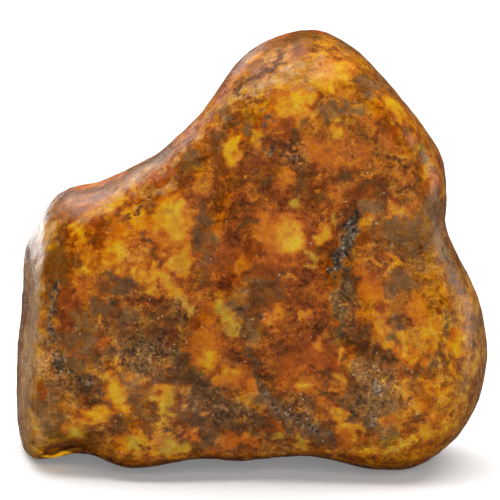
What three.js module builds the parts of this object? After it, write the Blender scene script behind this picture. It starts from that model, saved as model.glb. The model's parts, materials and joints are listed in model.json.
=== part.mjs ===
// A nephrite river pebble the size of a fist, standing on its lower edge: one solid stone.
//
// Millimetres, +Z up, the broad front face towards -Y. The origin is below the middle of the stone, on the
// surface that it stands on.
//
// The stone is made the way a carver would rough it out. The rim is its outline from the front, and each
// side of the rim is closed by a broad face made of worn planes. Then swellings, hollows, ledges and seams
// are worked into the two faces, lumps and dents into the whole stone, and the spots that touch the ground
// are worn flat.

import * as THREE from 'three';
import { mergeVertices } from 'three/addons/utils/BufferGeometryUtils.js';

// ---- Driving dimensions ---------------------------------------------------------------------------------

const DETAIL = 19; // subdivisions of the icosahedron that carries the surface: 20 * (DETAIL + 1)^2 triangles
const GROUND = 1.0; // how high up the ground lies, on the scale of the heights below
const HEART = { x: 1, z: 39 }; // the point that the rim is measured around
const RIM_SQUARENESS = 2.3; // 2 rounds the edges as an ellipse, more makes them squarer
const RIM_STEPS = 1440; // samples round the rim
const FACE_BLEND = 0.9; // how softly two planes of a face run into each other
const WEAR_PASSES = 1; // rounds of wear, each of which moves a point towards its neighbours' middle
const WEAR_SHARE = 0.4; // how much of the way there

// ---- The rim --------------------------------------------------------------------------------------------
// Clockwise from the top, seen from the front: [x, y, z, front rounding, back rounding].
// The roundings say how far in from the rim the edge is worn round, on the front and on the back.

const RIM = [
  // crown
  [12.3, 5, 83.6, 14, 13],
  [18.2, 4, 81.4, 9, 12],
  // right shoulder, one long worn edge
  [23.3, 2, 77.0, 5.5, 11],
  [28.4, 1, 71.1, 4.5, 10],
  [33.0, 1, 64.8, 4.5, 10],
  [36.4, 1, 58.7, 5, 10],
  [37.3, 0, 52.1, 6, 10],
  // waist, drawn in above the right lobe
  [37.3, -1, 46.5, 6, 10],
  [39.4, -1, 41.7, 7, 11],
  [42.2, 0, 36.7, 7, 12],
  // right lobe
  [44.6, 1, 31.0, 8, 13],
  [45.6, 2, 23.6, 8, 13],
  [45.2, 2, 18.0, 8, 12],
  [43.7, 2, 12.1, 8, 11],
  [40.2, 2, 6.5, 8, 10],
  [35.9, 2, 3.2, 8, 8],
  [32.6, 2, 1.1, 8, 7],
  [29.6, 2, 0.1, 8, 7],
  [25.5, 2, 0.0, 8, 7],
  [21.5, 1, 0.7, 7, 7],
  // arch between the lobe and the belly
  [17.3, 0, 2.1, 6, 7],
  [12.6, -1, 3.9, 4, 7],
  [6.7, -1, 3.5, 4, 7],
  [-1.0, -1, 2.7, 4, 7],
  [-9.6, -2, 3.4, 4, 7],
  // belly
  [-15.3, -2, 2.2, 5, 7],
  [-20.6, -1, 1.1, 5, 7],
  [-25.2, 1, 1.5, 6, 7],
  // arch beside the left foot
  [-30.4, 3, 3.4, 6, 7],
  [-34.2, 6, 4.7, 7, 7],
  // left foot
  [-38.0, 9, 1.4, 8.5, 5],
  [-41.0, 12, -2.0, 9, 5],
  [-44.0, 13, -0.2, 9, 5],
  // left end, a broad side that faces away to the left
  [-45.4, 13, 3.4, 9, 8],
  [-45.7, 13, 10.8, 7, 9],
  [-45.5, 14, 20.2, 7, 9],
  [-44.6, 15, 29.5, 7, 9],
  [-43.9, 15, 38.9, 8, 9],
  // horn at the back of the left end
  [-42.0, 15, 44.0, 9, 8],
  [-38.9, 14, 49.1, 9, 8],
  [-34.4, 12, 52.2, 7, 8],
  [-28.7, 8, 53.6, 4.5, 9],
  // long upper slope
  [-22.9, 4, 56.9, 4.5, 10],
  [-16.5, 2, 60.8, 4.5, 10],
  [-11.8, 1, 64.8, 4.5, 10],
  [-8.3, 1, 68.6, 5, 10],
  [-4.7, 2, 74.0, 6, 11],
  [-1.3, 3, 78.1, 9, 12],
  [2.7, 4, 81.0, 12, 13],
  [7.2, 5, 82.8, 14, 13],
];

// ---- The broad faces ------------------------------------------------------------------------------------
// Each plane: the depth y at a point [x, z] of it, and how much the depth changes per mm to the right and
// per mm upwards.

const FRONT_PLANES = [
  { name: 'main face', at: [0, 20], y: -18.5, right: -0.02, up: 0.14 },
  { name: 'left cheek', at: [-26, 30], y: -15.6, right: -0.24, up: 0.07 },
  { name: 'upper left chamfer', at: [-9, 60], y: -12.2, right: -0.3, up: 0.42 },
  { name: 'brow', at: [8, 72], y: -11.6, right: 0.05, up: 0.5 },
  { name: 'right shoulder', at: [30, 56], y: -12.6, right: 0.3, up: 0.16 },
  { name: 'lobe side', at: [36, 26], y: -17.6, right: 0.55, up: 0.05 },
  { name: 'under edge', at: [0, 6], y: -19.6, right: 0.0, up: -0.35 },
  { name: 'left end', at: [-39.8, 30], y: -12.3, right: -4.5, up: 0.4 },
];

const BACK_PLANES = [
  { name: 'back', at: [-4, 26], y: 21.5, right: 0.03, up: -0.1 },
  { name: 'back right', at: [24, 26], y: 19.0, right: -0.3, up: -0.08 },
  { name: 'back crown', at: [6, 60], y: 17.6, right: 0.04, up: -0.26 },
  { name: 'back left', at: [-32, 26], y: 21.0, right: 0.16, up: -0.16 },
  { name: 'back heel', at: [-2, 8], y: 20.0, right: -0.03, up: 0.4 },
];

// Swellings (rise above 0) and hollows (below 0): centre [x, z], half-widths [x, z], turn in degrees and
// rise in mm.

const FRONT_FORMS = [
  { name: 'right lobe', at: [29, 17], size: [13, 15], turn: 0, rise: 2.4 },
  { name: 'middle swell', at: [4, 33], size: [15, 13], turn: -30, rise: 1.3 },
  { name: 'left swell', at: [-24, 41], size: [11, 8], turn: 25, rise: 1.0 },
  { name: 'belly', at: [-21, 8], size: [12, 6], turn: 0, rise: 1.4 },
  { name: 'foot', at: [-38, 6], size: [6, 6], turn: 0, rise: 1.0 },
  { name: 'crown swell', at: [20, 68], size: [10, 9], turn: -45, rise: 0.8 },
  { name: 'soft hollow', at: [-8, 46], size: [5, 14], turn: 10, rise: -0.6 },
  { name: 'rough hollow', at: [-18, 25], size: [8, 5], turn: -15, rise: -1.5 },
  { name: 'valley beside the lobe', at: [17, 13], size: [6, 13], turn: 18, rise: -1.1 },
  { name: 'waist hollow', at: [31, 44], size: [8, 6], turn: 30, rise: -1.2 },
  { name: 'pit', at: [8.1, 61.7], size: [2.4, 2.4], turn: 0, rise: -1.1 },
];

const BACK_FORMS = [
  { name: 'back swell', at: [8, 22], size: [16, 13], turn: 20, rise: 1.6 },
  { name: 'back hollow', at: [-12, 44], size: [15, 8], turn: 32, rise: -2.4 },
  { name: 'back waist hollow', at: [28, 46], size: [9, 8], turn: -20, rise: -1.8 },
  { name: 'back left knob', at: [-34, 40], size: [7, 7], turn: 0, rise: 1.2 },
  { name: 'back scoop', at: [-18, 12], size: [9, 7], turn: -15, rise: -1.6 },
];

// Seams: a groove along a path of [x, z] points on the front face, with its depth and half-width in mm.

const FRONT_SEAMS = [
  {
    name: 'vein valley',
    depth: 2.0,
    width: 2.1,
    path: [[19, 50], [17.2, 43], [18.4, 38], [18.8, 33], [20.2, 27.4]],
  },
  {
    name: 'vein end',
    depth: 2.0,
    width: 1.7,
    path: [[20.2, 27.4], [23.6, 26], [26, 23.8]],
  },
  {
    name: 'left seam',
    depth: 1.7,
    width: 1.8,
    path: [[-38, 38], [-37.4, 28.8], [-35.4, 22.4], [-31.6, 18.6], [-27, 16]],
  },
  {
    name: 'notch',
    depth: 1.6,
    width: 1.6,
    path: [[-8, 34.4], [-12.6, 33.6], [-13.8, 29.6]],
  },
  {
    name: 'crown seam',
    depth: 1.0,
    width: 1.6,
    path: [[6, 78.6], [1, 76.4], [-1.4, 74.2], [-3.4, 70.6]],
  },
  {
    name: 'foot seam',
    depth: 1.0,
    width: 1.6,
    path: [[-37, 6.4], [-31, 8.6], [-24, 9.4]],
  },
];

// Ledges: the face drops by the depth on the left of a path of [x, z] points, over the half-width of the
// step, and rises again within the reach. The drop starts and ends gently, within the taper from the path's
// ends.

const FRONT_LEDGES = [
  {
    name: 'long ledge',
    depth: 2.5,
    width: 1.4,
    reach: 13,
    taper: 9,
    path: [[15, 6], [9, 9.7], [2, 12.3], [-4.6, 16.8], [-9.3, 22.3], [-11.3, 27], [-12, 31.4], [-10, 36]],
  },
  {
    name: 'healed step',
    depth: 0.8,
    width: 1.2,
    reach: 6,
    taper: 4,
    path: [[32, 57], [28.5, 60], [25.4, 61.4], [21, 65.2], [18, 68]],
  },
  {
    name: 'lip above the rough hollow',
    depth: 1.0,
    width: 1.2,
    reach: 6,
    taper: 4,
    path: [[-10, 32.4], [-15, 33], [-20, 34.4], [-25, 36.6]],
  },
];

// ---- The whole stone ------------------------------------------------------------------------------------
// Lumps (rise above 0) and dents (below 0) that run over the edges: centre [x, y, z], radius and rise in mm.

const LUMPS = [
  { name: 'left end hollow', at: [-46, 2, 26], radius: 9, rise: -1.1 },
  { name: 'left end lump', at: [-45, -2, 13], radius: 8, rise: 0.4 },
  { name: 'upper slope saddle', at: [-18, 12, 58], radius: 8, rise: -0.6 },
  { name: 'crown back dent', at: [14, 15, 76], radius: 9, rise: -1.4 },
  { name: 'right side dent', at: [44, 9, 34], radius: 9, rise: -1.0 },
  { name: 'right side lump', at: [42, 12, 18], radius: 10, rise: 1.2 },
  { name: 'shoulder lump', at: [34, 9, 58], radius: 9, rise: 0.9 },
  { name: 'underside hollow', at: [2, 8, 1], radius: 12, rise: -1.6 },
];

// Tumbling leaves the two faces slightly uneven: crossed waves, each with the way it runs, its length and
// its rise. They fade out towards the rim.

const WAVES = [
  { towards: [0.8, 0.2, 0.6], length: 13.0, rise: 0.22 },
  { towards: [-0.6, 0.4, 0.7], length: 9.5, rise: 0.18 },
  { towards: [0.3, 0.9, -0.4], length: 11.0, rise: 0.2 },
  { towards: [0.9, -0.4, -0.3], length: 7.5, rise: 0.14 },
];

// ---- Small tools ----------------------------------------------------------------------------------------

const bell = (t) => Math.exp(-t * t);

function softMaximum(values, blend) {
  const top = Math.max(...values);
  return top + blend * Math.log(values.reduce((sum, value) => sum + Math.exp((value - top) / blend), 0));
}

function planeDepth(plane, x, z) {
  return plane.y + plane.right * (x - plane.at[0]) + plane.up * (z - plane.at[1]);
}

function formRise(form, x, z) {
  const turn = THREE.MathUtils.degToRad(form.turn);
  const dx = x - form.at[0];
  const dz = z - form.at[1];
  const along = (dx * Math.cos(turn) + dz * Math.sin(turn)) / form.size[0];
  const across = (dz * Math.cos(turn) - dx * Math.sin(turn)) / form.size[1];
  return form.rise * bell(Math.hypot(along, across));
}

// Nearest place on a path: how far away it is, on which side of the path the point lies (left is above
// 0), and how far that place is from the nearer end of the path.
function nearestOnPath(path, x, z) {
  let best = { distance: Infinity };
  let length = 0;
  for (let i = 0; i + 1 < path.length; i += 1) {
    const [ax, az] = path[i];
    const bx = path[i + 1][0] - ax;
    const bz = path[i + 1][1] - az;
    const stretch = Math.hypot(bx, bz);
    const share = THREE.MathUtils.clamp(((x - ax) * bx + (z - az) * bz) / (stretch * stretch), 0, 1);
    const dx = x - (ax + share * bx);
    const dz = z - (az + share * bz);
    const distance = Math.hypot(dx, dz);
    const side = Math.sign(bx * dz - bz * dx) || 1;
    if (distance < best.distance) best = { distance, side, run: length + share * stretch };
    length += stretch;
  }
  return { ...best, toEnd: Math.min(best.run, length - best.run) };
}

function seamDepth(seam, x, z) {
  return seam.depth * bell(nearestOnPath(seam.path, x, z).distance / seam.width);
}

function ledgeDepth(ledge, x, z) {
  const { distance, side, toEnd } = nearestOnPath(ledge.path, x, z);
  const step = 0.5 + 0.5 * Math.tanh((side * distance) / ledge.width);
  const start = THREE.MathUtils.smoothstep(toEnd, 0, ledge.taper);
  return ledge.depth * step * start * bell(distance / ledge.reach);
}

const total = (items, measure) => items.reduce((sum, item) => sum + measure(item), 0);

// ---- The rim as samples ---------------------------------------------------------------------------------

function closedCurve(columns) {
  const points = RIM.map((row) => new THREE.Vector3(...columns.map((column) => row[column])));
  return new THREE.CatmullRomCurve3(points, true, 'catmullrom', 0.5);
}

// Samples of the rim in the order of their angle around the heart, closed by a copy of the first one.
function makeRim() {
  const place = closedCurve([0, 1, 2]);
  const rounding = closedCurve([3, 4, 4]);
  const samples = [];
  for (let i = 0; i < RIM_STEPS; i += 1) {
    const point = place.getPoint(i / RIM_STEPS);
    const edge = rounding.getPoint(i / RIM_STEPS);
    const angle = Math.atan2(point.z - HEART.z, point.x - HEART.x);
    samples.push({ angle, x: point.x, y: point.y, z: point.z, front: edge.x, back: edge.y });
  }
  samples.sort((a, b) => a.angle - b.angle);
  return [...samples, { ...samples[0], angle: samples[0].angle + 2 * Math.PI }];
}

// How far the rim is from the heart in a direction.
function rimRadius(rim, angle) {
  const turned = angle < rim[0].angle ? angle + 2 * Math.PI : angle;
  const next = Math.max(rim.findIndex((sample) => sample.angle > turned), 1);
  const [a, b] = [rim[next - 1], rim[next]];
  const share = (turned - a.angle) / (b.angle - a.angle || 1);
  const reach = (sample) => Math.hypot(sample.x - HEART.x, sample.z - HEART.z);
  return THREE.MathUtils.lerp(reach(a), reach(b), share);
}

// The nearest place of the rim: how far it is, its depth and its roundings.
function nearestOnRim(rim, x, z) {
  let best = { distance: Infinity };
  for (let i = 0; i + 1 < rim.length; i += 1) {
    const [a, b] = [rim[i], rim[i + 1]];
    const [bx, bz] = [b.x - a.x, b.z - a.z];
    const share = THREE.MathUtils.clamp(((x - a.x) * bx + (z - a.z) * bz) / (bx * bx + bz * bz || 1), 0, 1);
    const distance = Math.hypot(x - a.x - share * bx, z - a.z - share * bz);
    if (distance < best.distance) best = { distance, a, b, share };
  }
  const mix = (key) => THREE.MathUtils.lerp(best.a[key], best.b[key], best.share);
  return { distance: best.distance, y: mix('y'), front: mix('front'), back: mix('back') };
}

// ---- The stone ------------------------------------------------------------------------------------------

// How far the surface has come from the rim to the face, from 0 to 1, at an inset from the rim.
function edgeProfile(inset, rounding) {
  const left = 1 - Math.min(inset / rounding, 1);
  return (1 - left ** RIM_SQUARENESS) ** (1 / RIM_SQUARENESS);
}

function frontDepth(x, z) {
  const worn = softMaximum(FRONT_PLANES.map((plane) => planeDepth(plane, x, z)), FACE_BLEND);
  const rise = total(FRONT_FORMS, (form) => formRise(form, x, z));
  const seams = total(FRONT_SEAMS, (seam) => seamDepth(seam, x, z));
  const ledges = total(FRONT_LEDGES, (ledge) => ledgeDepth(ledge, x, z));
  return worn - rise + seams + ledges;
}

function backDepth(x, z) {
  const worn = -softMaximum(BACK_PLANES.map((plane) => -planeDepth(plane, x, z)), FACE_BLEND);
  return worn + total(BACK_FORMS, (form) => formRise(form, x, z));
}

function stonePoint(rim, direction) {
  const share = Math.min(Math.hypot(direction.x, direction.z), 1);
  const angle = Math.atan2(direction.z, direction.x);
  const reach = rimRadius(rim, angle) * share;
  const x = HEART.x + reach * Math.cos(angle);
  const z = HEART.z + reach * Math.sin(angle);
  const edge = nearestOnRim(rim, x, z);
  const isFront = direction.y < 0;
  const face = isFront ? frontDepth(x, z) : backDepth(x, z);
  const rise = edgeProfile(edge.distance, isFront ? edge.front : edge.back);
  return new THREE.Vector3(x, edge.y + (face - edge.y) * rise, z);
}

function waveRise(wave, point) {
  const run = new THREE.Vector3(...wave.towards).normalize().dot(point);
  return wave.rise * Math.sin((2 * Math.PI * run) / wave.length);
}

// Moves each point of the surface along its normal by the lumps and dents around it, and outwards from the
// face by the waves.
function workLumps(geometry) {
  geometry.computeVertexNormals();
  const { position, normal } = geometry.attributes;
  const point = new THREE.Vector3();
  const outward = new THREE.Vector3();
  for (let i = 0; i < position.count; i += 1) {
    point.fromBufferAttribute(position, i);
    outward.fromBufferAttribute(normal, i);
    const lumps = total(LUMPS, (lump) => {
      const distance = point.distanceTo(new THREE.Vector3(...lump.at));
      return lump.rise * bell(distance / lump.radius);
    });
    const waves = total(WAVES, (wave) => waveRise(wave, point));
    point.addScaledVector(outward, lumps);
    point.y += outward.y * waves;
    position.setXYZ(i, point.x, point.y, point.z);
  }
}

// Water wears the sharpest corners: each point moves towards the middle of its neighbours.
function wearSmooth(geometry) {
  const { position } = geometry.attributes;
  const corners = geometry.index.array;
  const neighbours = Array.from({ length: position.count }, () => new Set());
  for (let i = 0; i < corners.length; i += 3) {
    for (let k = 0; k < 3; k += 1) neighbours[corners[i + k]].add(corners[i + ((k + 1) % 3)]);
  }
  for (let pass = 0; pass < WEAR_PASSES; pass += 1) {
    const before = geometry.attributes.position.clone();
    const point = new THREE.Vector3();
    const middle = new THREE.Vector3();
    const neighbour = new THREE.Vector3();
    for (let i = 0; i < position.count; i += 1) {
      middle.set(0, 0, 0);
      for (const j of neighbours[i]) middle.add(neighbour.fromBufferAttribute(before, j));
      middle.divideScalar(neighbours[i].size);
      point.fromBufferAttribute(before, i).lerp(middle, WEAR_SHARE);
      position.setXYZ(i, point.x, point.y, point.z);
    }
  }
}

// The ground wears flat what reaches below it. The origin goes there, below the middle of the stone.
function standOnGround(geometry) {
  const { position } = geometry.attributes;
  for (let i = 0; i < position.count; i += 1) position.setZ(i, Math.max(position.getZ(i), GROUND));
  geometry.computeBoundingBox();
  const middle = geometry.boundingBox.getCenter(new THREE.Vector3());
  geometry.translate(-middle.x, -middle.y, -GROUND);
}

function makeStone() {
  const rim = makeRim();
  const ball = new THREE.IcosahedronGeometry(1, DETAIL);
  ball.deleteAttribute('normal');
  ball.deleteAttribute('uv');
  const geometry = mergeVertices(ball, 1e-4);
  const { position } = geometry.attributes;
  const direction = new THREE.Vector3();
  for (let i = 0; i < position.count; i += 1) {
    direction.fromBufferAttribute(position, i).normalize();
    const point = stonePoint(rim, direction);
    position.setXYZ(i, point.x, point.y, point.z);
  }
  workLumps(geometry);
  wearSmooth(geometry);
  standOnGround(geometry);
  geometry.computeVertexNormals();
  return geometry;
}

const nephrite = new THREE.MeshStandardMaterial({ color: 0xa8641c, roughness: 0.35, metalness: 0 });
const pebble = new THREE.Mesh(makeStone(), nephrite);
pebble.name = 'pebble';

const stone = new THREE.Group();
stone.add(pebble);

export default stone;
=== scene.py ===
"""A polished nephrite pebble: its fine surface, its painted stone and a plain white stage."""

import json
import math

import bpy
import numpy as np
from bpy.props import FloatProperty, IntProperty, PointerProperty
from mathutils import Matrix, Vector, noise
from mathutils.bvhtree import BVHTree

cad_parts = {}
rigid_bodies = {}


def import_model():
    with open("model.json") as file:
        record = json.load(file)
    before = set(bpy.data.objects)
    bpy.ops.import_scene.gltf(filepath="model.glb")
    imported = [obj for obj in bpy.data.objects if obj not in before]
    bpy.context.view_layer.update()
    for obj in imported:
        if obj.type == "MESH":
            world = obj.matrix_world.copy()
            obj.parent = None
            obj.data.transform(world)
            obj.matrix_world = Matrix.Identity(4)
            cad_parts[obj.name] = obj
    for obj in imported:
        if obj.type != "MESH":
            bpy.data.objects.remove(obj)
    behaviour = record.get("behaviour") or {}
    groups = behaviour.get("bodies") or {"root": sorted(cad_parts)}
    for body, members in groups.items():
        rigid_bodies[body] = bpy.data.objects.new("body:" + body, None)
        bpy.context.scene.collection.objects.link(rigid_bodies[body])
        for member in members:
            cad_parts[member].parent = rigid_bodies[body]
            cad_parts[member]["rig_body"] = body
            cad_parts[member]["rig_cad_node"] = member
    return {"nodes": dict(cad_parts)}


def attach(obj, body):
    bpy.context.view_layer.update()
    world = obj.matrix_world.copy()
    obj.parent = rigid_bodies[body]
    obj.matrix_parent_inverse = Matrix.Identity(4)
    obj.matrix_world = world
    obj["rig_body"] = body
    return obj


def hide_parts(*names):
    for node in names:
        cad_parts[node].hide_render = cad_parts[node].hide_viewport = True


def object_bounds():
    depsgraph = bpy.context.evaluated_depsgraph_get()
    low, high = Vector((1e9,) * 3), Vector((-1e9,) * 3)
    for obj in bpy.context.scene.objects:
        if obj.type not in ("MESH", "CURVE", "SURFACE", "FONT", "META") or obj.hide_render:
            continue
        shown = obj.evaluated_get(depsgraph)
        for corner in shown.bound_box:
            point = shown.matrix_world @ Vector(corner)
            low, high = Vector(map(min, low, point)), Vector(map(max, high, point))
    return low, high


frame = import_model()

CAD_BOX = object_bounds()

bl_info = {
    "name": "Nephrite Pebble",
    "version": (1, 0, 0),
    "blender": (4, 5, 0),
    "location": "View3D > Sidebar > Pebble",
    "description": "Makes a polished nephrite pebble and a white stage to show it on",
    "category": "Object",
}

MM = 0.001
STONE_NODE = "pebble"
STONE_NAME = "nephrite_pebble"
STONE_MIDDLE = (0.15 * MM, 0.0, 40.5 * MM)
VIEW_DISTANCE = 520 * MM
VIEW_ELEVATION = math.radians(10)


# --- Paints -------------------------------------------------------------------------------------
#
# The stone is painted on layers that the material reads: its tone, from 0 for near black through
# brown and orange to 1 for pale gold, how red and how olive that is, how skinned over with dull
# grey-brown, and how slaty. Calm says how little the material's own mottling shows.

LAYERS = ("tone", "red", "olive", "skin", "slate", "calm")

PAINTS = {
    "umber": (0.28, 0.3, 0.1, 0.3, 0.1, 0.8),
    "brown": (0.36, 0.4, 0.1, 0.3, 0.0, 0.6),
    "plum": (0.40, 0.3, 0.0, 0.7, 0.0, 0.6),
    "skin": (0.49, 0.1, 0.1, 0.8, 0.0, 0.5),
    # The next paint is a painted highlight: a pale, dull colour standing for the polish's reflections along
    # the ridge, on the crown and on the left end.
    "painted_highlight": (0.80, 0.3, 0.0, 0.6, 0.0, 0.5),
    "rust": (0.41, 1.0, 0.0, 0.0, 0.0, 0.6),
    "ember": (0.52, 1.0, 0.0, 0.0, 0.0, 0.6),
    "orange": (0.68, 1.0, 0.0, 0.0, 0.0, 0.7),
    "amber": (0.75, 0.55, 0.0, 0.0, 0.0, 0.7),
    "gold": (0.86, 0.32, 0.0, 0.0, 0.0, 0.7),
    "yellow": (0.95, 0.1, 0.05, 0.0, 0.0, 0.8),
    "olive": (0.80, 0.1, 0.6, 0.05, 0.0, 0.8),
    "moss": (0.46, 0.0, 0.7, 0.6, 0.1, 0.5),
    "slate": (0.42, 0.0, 0.1, 0.8, 0.85, 0.3),
}
HALOED = ("gold", "yellow", "olive", "amber")
HALO = 0.70  # how much redder the stone is round the edge of a haloed mark

# The broad zones of the front, painted first: a tone, how red, how skinned over, and the zone's
# place and shape, as for a mark.
ZONES = (
    (0.44, 0.8, 0.0, (4.0, 32.5, 20.0, 26.0)),
    (0.70, 0.8, 0.0, (-22.6, 40.0, 14.0, 9.0, 30)),
    (0.49, 0.3, 0.40, (-24.6, 16.5, 18.0, 13.0)),
    (0.45, 0.3, 0.45, (-4.0, 6.5, 18.0, 6.0, -10)),
    (0.62, 0.4, 0.10, (33.0, 18.5, 12.0, 18.0)),
    (0.63, 0.2, 0.35, (43.0, 25.0, 5.0, 18.0)),
    (0.50, 0.2, 0.55, (33.0, 43.5, 8.0, 7.0)),
    (0.62, 0.5, 0.05, (29.5, 59.0, 9.0, 10.0, -55)),
    (0.76, 0.35, 0.05, (11.0, 71.5, 12.0, 8.0)),
    (0.54, 0.3, 0.40, (-12.4, 58.0, 16.0, 3.0, 43)),
    (0.62, 0.8, 0.10, (-13.4, 60.5, 18.0, 2.6, 43)),
    # The last zone, the left end, is a painted reflection: pale and dull where the polish mirrors the white
    # floor.
    (0.82, 0.3, 1.00, (-42.0, 25.0, 5.0, 26.0)),
)

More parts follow.
